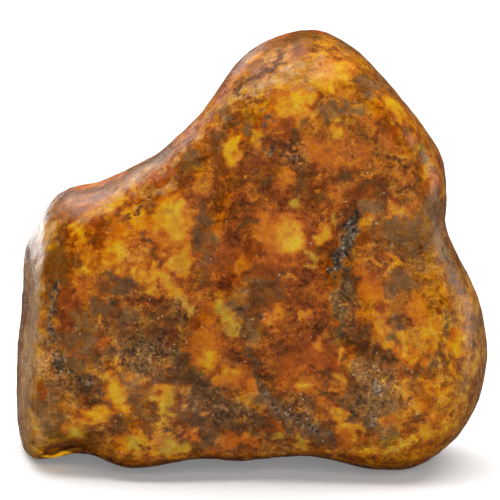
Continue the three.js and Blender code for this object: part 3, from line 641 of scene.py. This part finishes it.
def paint_stone(mesh):
    """Paints the layers on the mesh: zones, scattered marks on the back, and the front's marks.

    Gives back where the surface is grooved and where it is rough, as a share at each vertex.
    """
    noise.seed_set(EDGE_SEED)
    places = positions(mesh)
    finder = BVHTree.FromPolygons(
        [vertex.co for vertex in mesh.vertices], [face.vertices for face in mesh.polygons])
    frayed = places + sum(wander(places, size, reach, FRAY_SHIFT + size) for size, reach in FRAYS)
    warped = frayed + wander(places, *WARP, WARP_SHIFT)
    layers = {name: np.zeros(len(places)) for name in LAYERS}
    layers["tone"] += BASE_TONE
    layers["red"] += BASE_RED

    paint_zones(layers, finder, warped)
    scatter_marks(layers, mesh, places, warped)
    paint_marks(layers, finder, warped)
    grooved = paint_strokes(layers, finder, frayed)
    rough = np.maximum(ROUGH_SHARE * patches_cover(finder, warped, ROUGH_PATCHES), layers["slate"])
    painted_glow = patches_cover(finder, warped, PAINTED_GLOW_PLACES)
    for name, values in (*layers.items(), ("rough", rough), ("painted_glow", painted_glow)):
        store_layer(mesh, name, np.clip(values, 0, 1))
    return grooved, rough


def mark_hollows(mesh):
    """Stores how far each vertex lies in a hollow of the fine relief, against its surroundings; the
    material paints shade into the hollows by it.
    """
    places = positions(mesh)
    edges = np.empty(len(mesh.edges) * 2, np.int32)
    mesh.edges.foreach_get("vertices", edges)
    starts, ends = edges.reshape(-1, 2).T
    counts = np.bincount(starts, minlength=len(places)) + np.bincount(ends, minlength=len(places))
    smooth = places
    for _ in range(HOLLOW_REACH):
        total = np.zeros_like(smooth)
        np.add.at(total, starts, smooth[ends])
        np.add.at(total, ends, smooth[starts])
        smooth = total / counts[:, None]
    normals = np.empty(len(places) * 3, np.float32)
    mesh.vertices.foreach_get("normal", normals)
    sunk = ((smooth - places) * normals.reshape(-1, 3)).sum(axis=1)
    store_layer(mesh, "hollow", np.clip(sunk / HOLLOW_DEPTH, -1, 1))


# --- Materials ----------------------------------------------------------------------------------
#
# The stone's colours by tone, each a tone with the red, green and blue that a screen shows it in.

CLEAR_STONE = (
    (0.00, 56, 30, 5), (0.20, 96, 54, 4), (0.35, 124, 74, 4),
    (0.50, 150, 92, 4), (0.60, 172, 110, 4), (0.70, 194, 130, 4),
    (0.80, 212, 150, 6), (0.90, 224, 170, 8), (1.00, 234, 190, 24),
)
RED_STONE = (
    (0.00, 58, 24, 4), (0.20, 100, 42, 3), (0.35, 130, 56, 2),
    (0.50, 158, 72, 2), (0.60, 182, 88, 2), (0.70, 204, 106, 3),
    (0.85, 220, 132, 6), (1.00, 230, 162, 24),
)
OLIVE_STONE = (
    (0.00, 40, 32, 10), (0.35, 92, 76, 16), (0.60, 138, 116, 18),
    (0.80, 180, 156, 32), (1.00, 212, 194, 84),
)
DULL_STONE = (
    (0.00, 56, 38, 26), (0.20, 88, 60, 38), (0.35, 112, 77, 46),
    (0.50, 133, 94, 55), (0.60, 152, 108, 64), (0.70, 170, 121, 72),
    (0.85, 198, 145, 92), (1.00, 222, 174, 124),
)
SLATY_STONE = (
    (0.00, 34, 30, 29), (0.20, 62, 54, 49), (0.40, 98, 87, 75),
    (0.60, 138, 123, 104), (1.00, 210, 198, 178),
)
# The colour of the painted glints, pale spots that stand for crystal faces catching the light.
PAINTED_GLINT_COLOUR = srgb(232, 212, 178)
# The colour of the painted glow, emission standing for light shining through the narrow edge.
PAINTED_GLOW_COLOUR = srgb(206, 150, 10)

# How the painted tone is broken up. Each noise has its size in millimetres and how far it moves
# the tone, and a band is the part of a noise that is drawn out to run from 0 to 1.
CHIPS = (1.5, 0.22)
FLAKES = (0.6, 0.20)
CLOUDS = (5.0, 0.14)
CLOUD_BAND = (0.43, 0.57)
PATCHES = (2.6, 0.14)
PATCH_BAND = (0.42, 0.58)
MOTTLE = (0.8, 0.42)
SPECKS = (0.28, 0.9)
CRYSTALS = (0.45, 0.7)
CRYSTAL_LIFT = 0.06   # how much paler the crystals are than the stone round them
CALMING = 0.85        # how much of the breaking up a fully calm paint takes away
GRAIN_TURN = math.radians(38)  # the stone's grain runs up to the right
GRAIN_SCALE = (0.5, 0.8, 1.0)  # below 1 draws the chips and flakes out along the grain
SWIRL_SIZE = 2.2      # mm, how wide the swirls are that bend the grain
SWIRL_REACH = 2.4     # mm, how far they bend it
NOISE_MIDDLE = 0.5

# Threads follow the middle value of a noise, where a slower noise lets them.
THREAD_SIZE = 3.2     # mm
THREAD_WIDTH = 0.022  # how far from that value a thread reaches
THREAD_STRETCH = 7.0  # mm, how long the stretches with and without threads are
THREAD_BAND = (0.42, 0.58)

HOLLOW_PAINTED_SHADE = -0.14  # painted shade: how much darker a full hollow is drawn; and how a thread, the stone's own dark vein, moves the tone
THREAD_SHADE = -0.2
TINT = (3.0, 1.2)     # the noise that makes the stone more or less red, like those above
CHIP_TINT = 0.4       # how far the chips move the red
PATCH_RIM = 1.2       # how strongly the stone reddens round the patches
ROUGH_OLIVE = 0.2     # how olive a rough place is
OLIVE_BAND = (-0.6, 0.7)  # the flakes that the olive shows in
HAZE_SIZE = 1.8       # mm, the noise that the dull skin is seen through
HAZE_BAND = (0.36, 0.64)
HAZE_GAIN = 2.0
ROUGH_SKIN = 0.4      # how much more skinned over a rough place, a hollow and a thread are; in a hollow this dulling is partly painted shade
HOLLOW_SKIN_AND_SHADE = 0.15
THREAD_SKIN = 0.4
SKIN_OPACITY = 0.9
SLATE_GRAIN = 2.0     # how far the mottling breaks up the slate

# Painted glints: pale spots in the colour, standing for crystal faces that catch the light.
SPARK_SIZE = 1.3      # mm between crystal faces that could get a painted glint
SPARK_RADII = (0.16, 0.06)  # as a share of that, where a face starts and where it is full
SPARK_RARITY = 0.90   # the share of the faces that don't shine, and how roughness moves it
ROUGH_SPARKS = -0.6
SPARK_OPACITY = 0.8

POLISH_START = -0.12  # the polish starts so far below its setting, and the mottling dulls it
MOTTLE_DULLING = 0.25
ROUGH_DULLING = 0.15
PIT_SIZE = 0.5        # mm
PIT_DEPTH = 0.15 * MM
PIT_STRENGTH = 0.7
NEPHRITE_IOR = 1.6
GLOW_REACH = (1.0, 0.5, 0.15)  # how far red, green and blue spread, against the glow's depth
SHEEN = 0.06
SHEEN_ROUGHNESS = 0.25


def add_node(tree, kind, inputs=None, **settings):
    """Adds a shader node, with its settings, and its inputs as values or as sockets to link."""
    made = tree.nodes.new(kind)
    for name, value in settings.items():
        setattr(made, name, value)
    for key, value in (inputs or {}).items():
        if isinstance(value, bpy.types.NodeSocket):
            tree.links.new(value, made.inputs[key])
        else:
            made.inputs[key].default_value = value
    return made


def calculate(tree, operation, first, second=0.0, third=0.0, clamp=False):
    """One step of arithmetic on values or sockets."""
    inputs = {0: first, 1: second, 2: third}
    return add_node(tree, "ShaderNodeMath", inputs, operation=operation, use_clamp=clamp).outputs[0]


def mix_colours(tree, share, first, second):
    """The second colour over the first, by a share."""
    return add_node(tree, "ShaderNodeMix", {0: share, 6: first, 7: second}, data_type="RGBA").outputs[2]


def clouds(tree, where, size, detail=4.0, roughness=0.6, distortion=0.0):
    """Cloudy noise between 0 and 1, about so many millimetres wide, as a value and as a colour."""
    inputs = {"Vector": where, "Scale": 1 / size, "Detail": detail,
              "Roughness": roughness, "Distortion": distortion}
    return add_node(tree, "ShaderNodeTexNoise", inputs).outputs


def remap(tree, value, low, high):
    """The value's way from low to high, as 0 to 1."""
    inputs = {"Value": value, "From Min": low, "From Max": high}
    return add_node(tree, "ShaderNodeMapRange", inputs, interpolation_type="SMOOTHSTEP").outputs[0]


def ramp(tree, value, stops):
    """A colour from a run of stops, each a place with its red, green and blue."""
    made = add_node(tree, "ShaderNodeValToRGB", {"Fac": value})
    elements = made.color_ramp.elements
    while len(elements) < len(stops):
        elements.new(1.0)
    for element, (place, *colour) in zip(elements, stops):
        element.position = place
        element.color = srgb(*colour)
    return made.outputs["Color"]


def centred(tree, value, reach):
    """Noise as a value from minus to plus about half the reach."""
    return calculate(tree, "MULTIPLY_ADD", value, reach, -NOISE_MIDDLE * reach)


def cells(tree, where, size):
    """Small cells about so many millimetres wide, each with a distance and a colour by chance."""
    return add_node(tree, "ShaderNodeTexVoronoi", {"Vector": where, "Scale": 1 / size}).outputs


def split(tree, colour):
    """A colour's three parts."""
    return add_node(tree, "ShaderNodeSeparateColor", {0: colour}).outputs


def stone_noises(tree, where):
    """The noises that break the stone up, by name."""
    swirl = clouds(tree, where, SWIRL_SIZE, detail=3, roughness=0.5)["Color"]
    inputs = {0: swirl, 1: (NOISE_MIDDLE,) * 3}
    swirl = add_node(tree, "ShaderNodeVectorMath", inputs, operation="SUBTRACT").outputs[0]
    inputs = {0: swirl, 1: (SWIRL_REACH,) * 3, 2: where}
    bent = add_node(tree, "ShaderNodeVectorMath", inputs, operation="MULTIPLY_ADD").outputs[0]
    inputs = {"Vector": bent, "Rotation": (0, GRAIN_TURN, 0), "Scale": GRAIN_SCALE}
    grainwise = add_node(tree, "ShaderNodeMapping", inputs).outputs[0]
    cloud = clouds(tree, where, CLOUDS[0], detail=7, roughness=0.62, distortion=0.8)["Fac"]
    patch = clouds(tree, bent, PATCHES[0], detail=5)["Fac"]
    return {
        "chip": split(tree, cells(tree, grainwise, CHIPS[0])["Color"]),
        "flake": split(tree, cells(tree, grainwise, FLAKES[0])["Color"]),
        "cloud": remap(tree, cloud, *CLOUD_BAND),
        "patch": remap(tree, patch, *PATCH_BAND),
        "mottle": clouds(tree, where, MOTTLE[0], detail=5, roughness=0.7)["Fac"],
        "speck": clouds(tree, where, SPECKS[0], detail=2)["Fac"],
    }


def broken_tone(tree, paint, noises):
    """The painted tone, broken up by the noises, less so where the stone is calm."""
    broken = centred(tree, noises["cloud"], CLOUDS[1])
    for value, (_, reach) in (
        (noises["patch"], PATCHES), (noises["chip"][0], CHIPS), (noises["flake"][0], FLAKES),
        (noises["mottle"], MOTTLE), (noises["speck"], SPECKS),
    ):
        broken = calculate(tree, "ADD", broken, centred(tree, value, reach))
    unrest = calculate(tree, "MULTIPLY_ADD", paint["calm"], -CALMING, 1.0)
    return calculate(tree, "MULTIPLY_ADD", broken, unrest, paint["tone"])


def fine_threads(tree, where):
    """Where fine threads run through the stone."""
    thread = clouds(tree, where, THREAD_SIZE, distortion=1.0)["Fac"]
    thread = calculate(tree, "ABSOLUTE", calculate(tree, "SUBTRACT", thread, NOISE_MIDDLE))
    thread = remap(tree, thread, THREAD_WIDTH, 0.0)
    allowed = remap(tree, clouds(tree, where, THREAD_STRETCH, detail=2)["Fac"], *THREAD_BAND)
    return calculate(tree, "MULTIPLY", thread, allowed)


def crystal_shade(tree, where, rough):
    """How much paler or darker each crystal in the rough places is than the stone round it."""
    shade = split(tree, cells(tree, where, CRYSTALS[0])["Color"])[0]
    shade = calculate(tree, "ADD", centred(tree, shade, CRYSTALS[1]), CRYSTAL_LIFT)
    return calculate(tree, "MULTIPLY", shade, rough)


def clear_colour(tree, where, tone, paint, noises):
    """Golden stone, redder where it is painted so and round its patches, and olive in places."""
    tint = clouds(tree, where, TINT[0], detail=5, roughness=0.65)["Fac"]
    red_share = calculate(tree, "ADD", paint["red"], centred(tree, tint, TINT[1]))
    red_share = calculate(tree, "ADD", red_share, centred(tree, noises["chip"][1], CHIP_TINT))
    patch = noises["patch"]
    rim = calculate(tree, "MULTIPLY", patch, calculate(tree, "SUBTRACT", 1.0, patch))
    red_share = calculate(tree, "MULTIPLY_ADD", rim, PATCH_RIM, red_share, clamp=True)
    colour = mix_colours(tree, red_share, ramp(tree, tone, CLEAR_STONE), ramp(tree, tone, RED_STONE))
    olive_share = calculate(tree, "MULTIPLY_ADD", paint["rough"], ROUGH_OLIVE, paint["olive"])
    olive_share = calculate(tree, "MULTIPLY", olive_share, remap(tree, noises["flake"][1], *OLIVE_BAND))
    return mix_colours(tree, olive_share, colour, ramp(tree, tone, OLIVE_STONE))


def skin_share(tree, where, paint, thread):
    """How far the dull skin covers the stone."""
    haze = clouds(tree, where, HAZE_SIZE, detail=6, roughness=0.7)["Fac"]
    haze = calculate(tree, "MULTIPLY", remap(tree, haze, *HAZE_BAND), HAZE_GAIN)
    share = calculate(tree, "MULTIPLY", paint["skin"], haze)
    share = calculate(tree, "MULTIPLY_ADD", paint["rough"], ROUGH_SKIN, share)
    # Painted shade in part: the hollows of the relief get more of the dull skin.
    share = calculate(tree, "MULTIPLY_ADD", paint["hollow"], HOLLOW_SKIN_AND_SHADE, share)
    share = calculate(tree, "MULTIPLY_ADD", thread, THREAD_SKIN, share, clamp=True)
    return calculate(tree, "MULTIPLY", share, SKIN_OPACITY)


def slate_share(tree, slate, mottle):
    """How far slate covers the stone: in grains, by the mottling."""
    granular = calculate(tree, "ADD", slate, centred(tree, mottle, SLATE_GRAIN), clamp=True)
    return calculate(tree, "MULTIPLY", slate, granular)


def painted_glint_share(tree, where, rough):
    """Where a painted glint is put on the colour, a pale spot standing for a crystal face catching the
    light: here and there, and mostly in the rough places.
    """
    spark = cells(tree, where, SPARK_SIZE)
    wanted = calculate(tree, "MULTIPLY_ADD", rough, ROUGH_SPARKS, SPARK_RARITY)
    chosen = calculate(tree, "GREATER_THAN", split(tree, spark["Color"])[1], wanted)
    share = calculate(tree, "MULTIPLY", remap(tree, spark["Distance"], *SPARK_RADII), chosen)
    return calculate(tree, "MULTIPLY", share, SPARK_OPACITY)


def nephrite_material(settings):
    """Polished nephrite: the painted tone broken up by noise, and coloured by the other layers, with
    painted shade in the hollows, painted glints and a painted glow at the left foot's edge.
    """
    material = bpy.data.materials.new("nephrite")
    material.use_nodes = True
    tree = material.node_tree
    tree.nodes.clear()
    place = add_node(tree, "ShaderNodeTexCoord").outputs["Object"]
    inputs = {0: place, "Scale": 1 / MM}
    where = add_node(tree, "ShaderNodeVectorMath", inputs, operation="SCALE").outputs[0]
    paint = {name: add_node(tree, "ShaderNodeAttribute", attribute_name=name).outputs["Fac"]
             for name in (*LAYERS, "rough", "hollow", "painted_glow")}
    noises = stone_noises(tree, where)
    thread = fine_threads(tree, where)

    tone = broken_tone(tree, paint, noises)
    # Painted shade: the tone is darker in the hollows of the relief.
    tone = calculate(tree, "MULTIPLY_ADD", paint["hollow"], HOLLOW_PAINTED_SHADE, tone)
    tone = calculate(tree, "MULTIPLY_ADD", thread, THREAD_SHADE, tone)
    tone = calculate(tree, "ADD", tone, crystal_shade(tree, where, paint["rough"]))

    colour = clear_colour(tree, where, tone, paint, noises)
    # The skin, the slate and the painted glints are laid over the colour.
    for share, cover in (
        (skin_share(tree, where, paint, thread), ramp(tree, tone, DULL_STONE)),
        (slate_share(tree, paint["slate"], noises["mottle"]), ramp(tree, tone, SLATY_STONE)),
        (painted_glint_share(tree, where, paint["rough"]), PAINTED_GLINT_COLOUR),
    ):
        colour = mix_colours(tree, share, colour, cover)

    polish = settings.roughness + POLISH_START
    roughness = calculate(tree, "MULTIPLY_ADD", noises["mottle"], MOTTLE_DULLING, polish)
    roughness = calculate(tree, "MULTIPLY_ADD", paint["rough"], ROUGH_DULLING, roughness)
    pits = clouds(tree, where, PIT_SIZE, detail=3, roughness=0.7)["Fac"]
    inputs = {"Height": pits, "Strength": PIT_STRENGTH, "Distance": PIT_DEPTH}
    bump = add_node(tree, "ShaderNodeBump", inputs)
    # The emission is a painted glow where light through the narrow edge is drawn on.
    shader = add_node(tree, "ShaderNodeBsdfPrincipled", {
        "Base Color": colour, "Roughness": roughness, "IOR": NEPHRITE_IOR, "Normal": bump.outputs[0],
        "Subsurface Weight": settings.translucency, "Subsurface Scale": settings.glow_depth,
        "Subsurface Radius": GLOW_REACH, "Sheen Weight": SHEEN, "Sheen Roughness": SHEEN_ROUGHNESS,
        "Emission Color": PAINTED_GLOW_COLOUR, "Emission Strength": paint["painted_glow"]})
    add_node(tree, "ShaderNodeOutputMaterial", {"Surface": shader.outputs[0]})
    return material


# --- Stage --------------------------------------------------------------------------------------

FLOOR_WHITE = 0.9
FLOOR_LIFT = 0.18     # how far the floor's shadows are lightened

# Panels that the polish mirrors: a name, a place, the size in metres, and the power in watts.
PANELS = (
    ("ridge panel", (-0.24, 0.46, 0.33), (0.20, 0.14), 0.32),
    ("crown panel", (-0.18, 0.03, 0.61), (0.25, 0.16), 0.5),
    ("left card", (-0.22, 0.45, 0.0), (0.24, 0.10), 0.42),
    ("right panel", (0.70, 0.20, 0.10), (0.20, 0.40), 0.8),
)
FRONT_FILL = ("front fill", (0.15, -0.9, 0.35), (0.8, 0.6), 4.6)  # which it doesn't mirror
SUN_PLACE = (0, 0, 1)
SUN_STRENGTH = 4.0
SUN_SPREAD = math.radians(90)
SUN_TILT = (math.radians(-22), math.radians(-2), 0)
SENSOR_WIDTH = 36     # mm
NEAREST_SEEN = 0.01   # m


def floor_material(settings):
    """Plain matt white, dimmer to the stone's reflections and to its underside than to the camera."""
    material = bpy.data.materials.new("white floor")
    material.use_nodes = True
    tree = material.node_tree
    shader = tree.nodes["Principled BSDF"]
    path = add_node(tree, "ShaderNodeLightPath")
    dimmed = calculate(tree, "MULTIPLY", path.outputs["Is Diffuse Ray"], settings.floor_bounce)
    dimmed = calculate(tree, "MULTIPLY_ADD", path.outputs["Is Glossy Ray"], settings.floor_shine, dimmed)
    albedo = calculate(tree, "MULTIPLY_ADD", path.outputs["Is Camera Ray"], FLOOR_WHITE, dimmed)
    grey = add_node(tree, "ShaderNodeCombineColor", {0: albedo, 1: albedo, 2: albedo}).outputs[0]
    tree.links.new(grey, shader.inputs["Base Color"])
    lift = calculate(tree, "MULTIPLY", path.outputs["Is Camera Ray"], FLOOR_LIFT)
    tree.links.new(lift, shader.inputs["Emission Strength"])
    shader.inputs["Emission Color"].default_value = (1, 1, 1, 1)
    shader.inputs["Roughness"].default_value = 1.0
    shader.inputs["Specular IOR Level"].default_value = 0.0
    return material


def add_area_light(name, place, size, power):
    """A soft white light that faces the stone's middle."""
    bpy.ops.object.light_add(type="AREA", location=place)
    light = bpy.context.active_object
    light.name = name
    light.data.shape = "RECTANGLE"
    light.data.size, light.data.size_y = size
    light.data.energy = power
    light.rotation_euler = (Vector(STONE_MIDDLE) - Vector(place)).to_track_quat("-Z", "Y").to_euler()
    return light


# --- Operators ----------------------------------------------------------------------------------


class PEBBLE_OT_make_stone(bpy.types.Operator):
    """Make the stone: refine its surface, paint it and give it its polish"""

    bl_idname = "pebble.make_stone"
    bl_label = "Make Stone"
    bl_options = {"REGISTER", "UNDO"}

    def execute(self, context):
        settings = context.scene.pebble_stone
        stone = copy_of_node(STONE_NODE, STONE_NAME)
        apply_subdivision(stone, settings.subdivisions)
        grooved, rough = paint_stone(stone.data)
        add_weights(stone, "grooved", grooved)
        add_weights(stone, "rough", rough)
        apply_relief(stone, "Ripples", cloud_texture("ripples", settings.ripple_size),
                     settings.ripple_height)
        apply_relief(stone, "Grain", cloud_texture("grain", settings.grain_size),
                     settings.grain_height)
        apply_relief(stone, "Rough", cloud_texture("rough", settings.crystal_size * BED_SIZE),
                     settings.crystal_height * BED_HEIGHT, "rough")
        apply_relief(stone, "Crystals", crystal_texture("crystals", settings.crystal_size),
                     settings.crystal_height, "rough")
        apply_relief(stone, "Grooves", None, -settings.groove_depth, "grooved")
        stone.vertex_groups.clear()
        keep_in_box(stone.data, CAD_BOX)
        mark_hollows(stone.data)
        bpy.ops.object.shade_smooth()
        stone.data.materials.append(nephrite_material(settings))
        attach(stone, "root")
        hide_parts(STONE_NODE)
        return {"FINISHED"}


class PEBBLE_OT_make_stage(bpy.types.Operator):
    """Make the white floor, the soft lights and the camera"""

    bl_idname = "pebble.make_stage"
    bl_label = "Make Stage"
    bl_options = {"REGISTER", "UNDO"}

    def execute(self, context):
        settings = context.scene.pebble_stage
        bpy.ops.mesh.primitive_plane_add(size=settings.floor_size)
        floor = context.active_object
        floor.name = "floor"
        floor.data.materials.append(floor_material(settings))

        context.scene.world = None  # the lamps give all the light
        bpy.ops.object.light_add(type="SUN", location=SUN_PLACE)
        sky = context.active_object
        sky.name = "overhead"
        sky.data.energy = SUN_STRENGTH
        sky.data.angle = SUN_SPREAD
        sky.rotation_euler = SUN_TILT
        sky.visible_glossy = False
        for panel in PANELS:
            add_area_light(*panel)
        fill = add_area_light(*FRONT_FILL)
        fill.visible_glossy = False

        place = view_point(settings.camera_distance, settings.camera_elevation)
        bpy.ops.object.camera_add(location=place)
        camera = context.active_object
        camera.rotation_euler = (Vector(STONE_MIDDLE) - place).to_track_quat("-Z", "Y").to_euler()
        camera.data.sensor_width = SENSOR_WIDTH
        camera.data.lens = settings.camera_lens
        camera.data.clip_start = NEAREST_SEEN
        context.scene.camera = camera
        context.scene.view_settings.view_transform = "Standard"
        return {"FINISHED"}


class VIEW3D_PT_pebble(bpy.types.Panel):
    """The pebble's operators and settings"""

    bl_label = "Nephrite Pebble"
    bl_space_type = "VIEW_3D"
    bl_region_type = "UI"
    bl_category = "Pebble"

    def draw(self, context):
        for settings, operator in (
            (context.scene.pebble_stone, PEBBLE_OT_make_stone),
            (context.scene.pebble_stage, PEBBLE_OT_make_stage),
        ):
            box = self.layout.box()
            for name in settings.__annotations__:
                box.prop(settings, name)
            box.operator(operator.bl_idname)


CLASSES = (StoneSettings, StageSettings, PEBBLE_OT_make_stone, PEBBLE_OT_make_stage, VIEW3D_PT_pebble)


def register():
    for each in CLASSES:
        bpy.utils.register_class(each)
    bpy.types.Scene.pebble_stone = PointerProperty(type=StoneSettings)
    bpy.types.Scene.pebble_stage = PointerProperty(type=StageSettings)


def unregister():
    del bpy.types.Scene.pebble_stage
    del bpy.types.Scene.pebble_stone
    for each in reversed(CLASSES):
        bpy.utils.unregister_class(each)


def main():
    register()
    bpy.ops.pebble.make_stone()
    bpy.ops.pebble.make_stage()


if __name__ == "__main__":
    main()
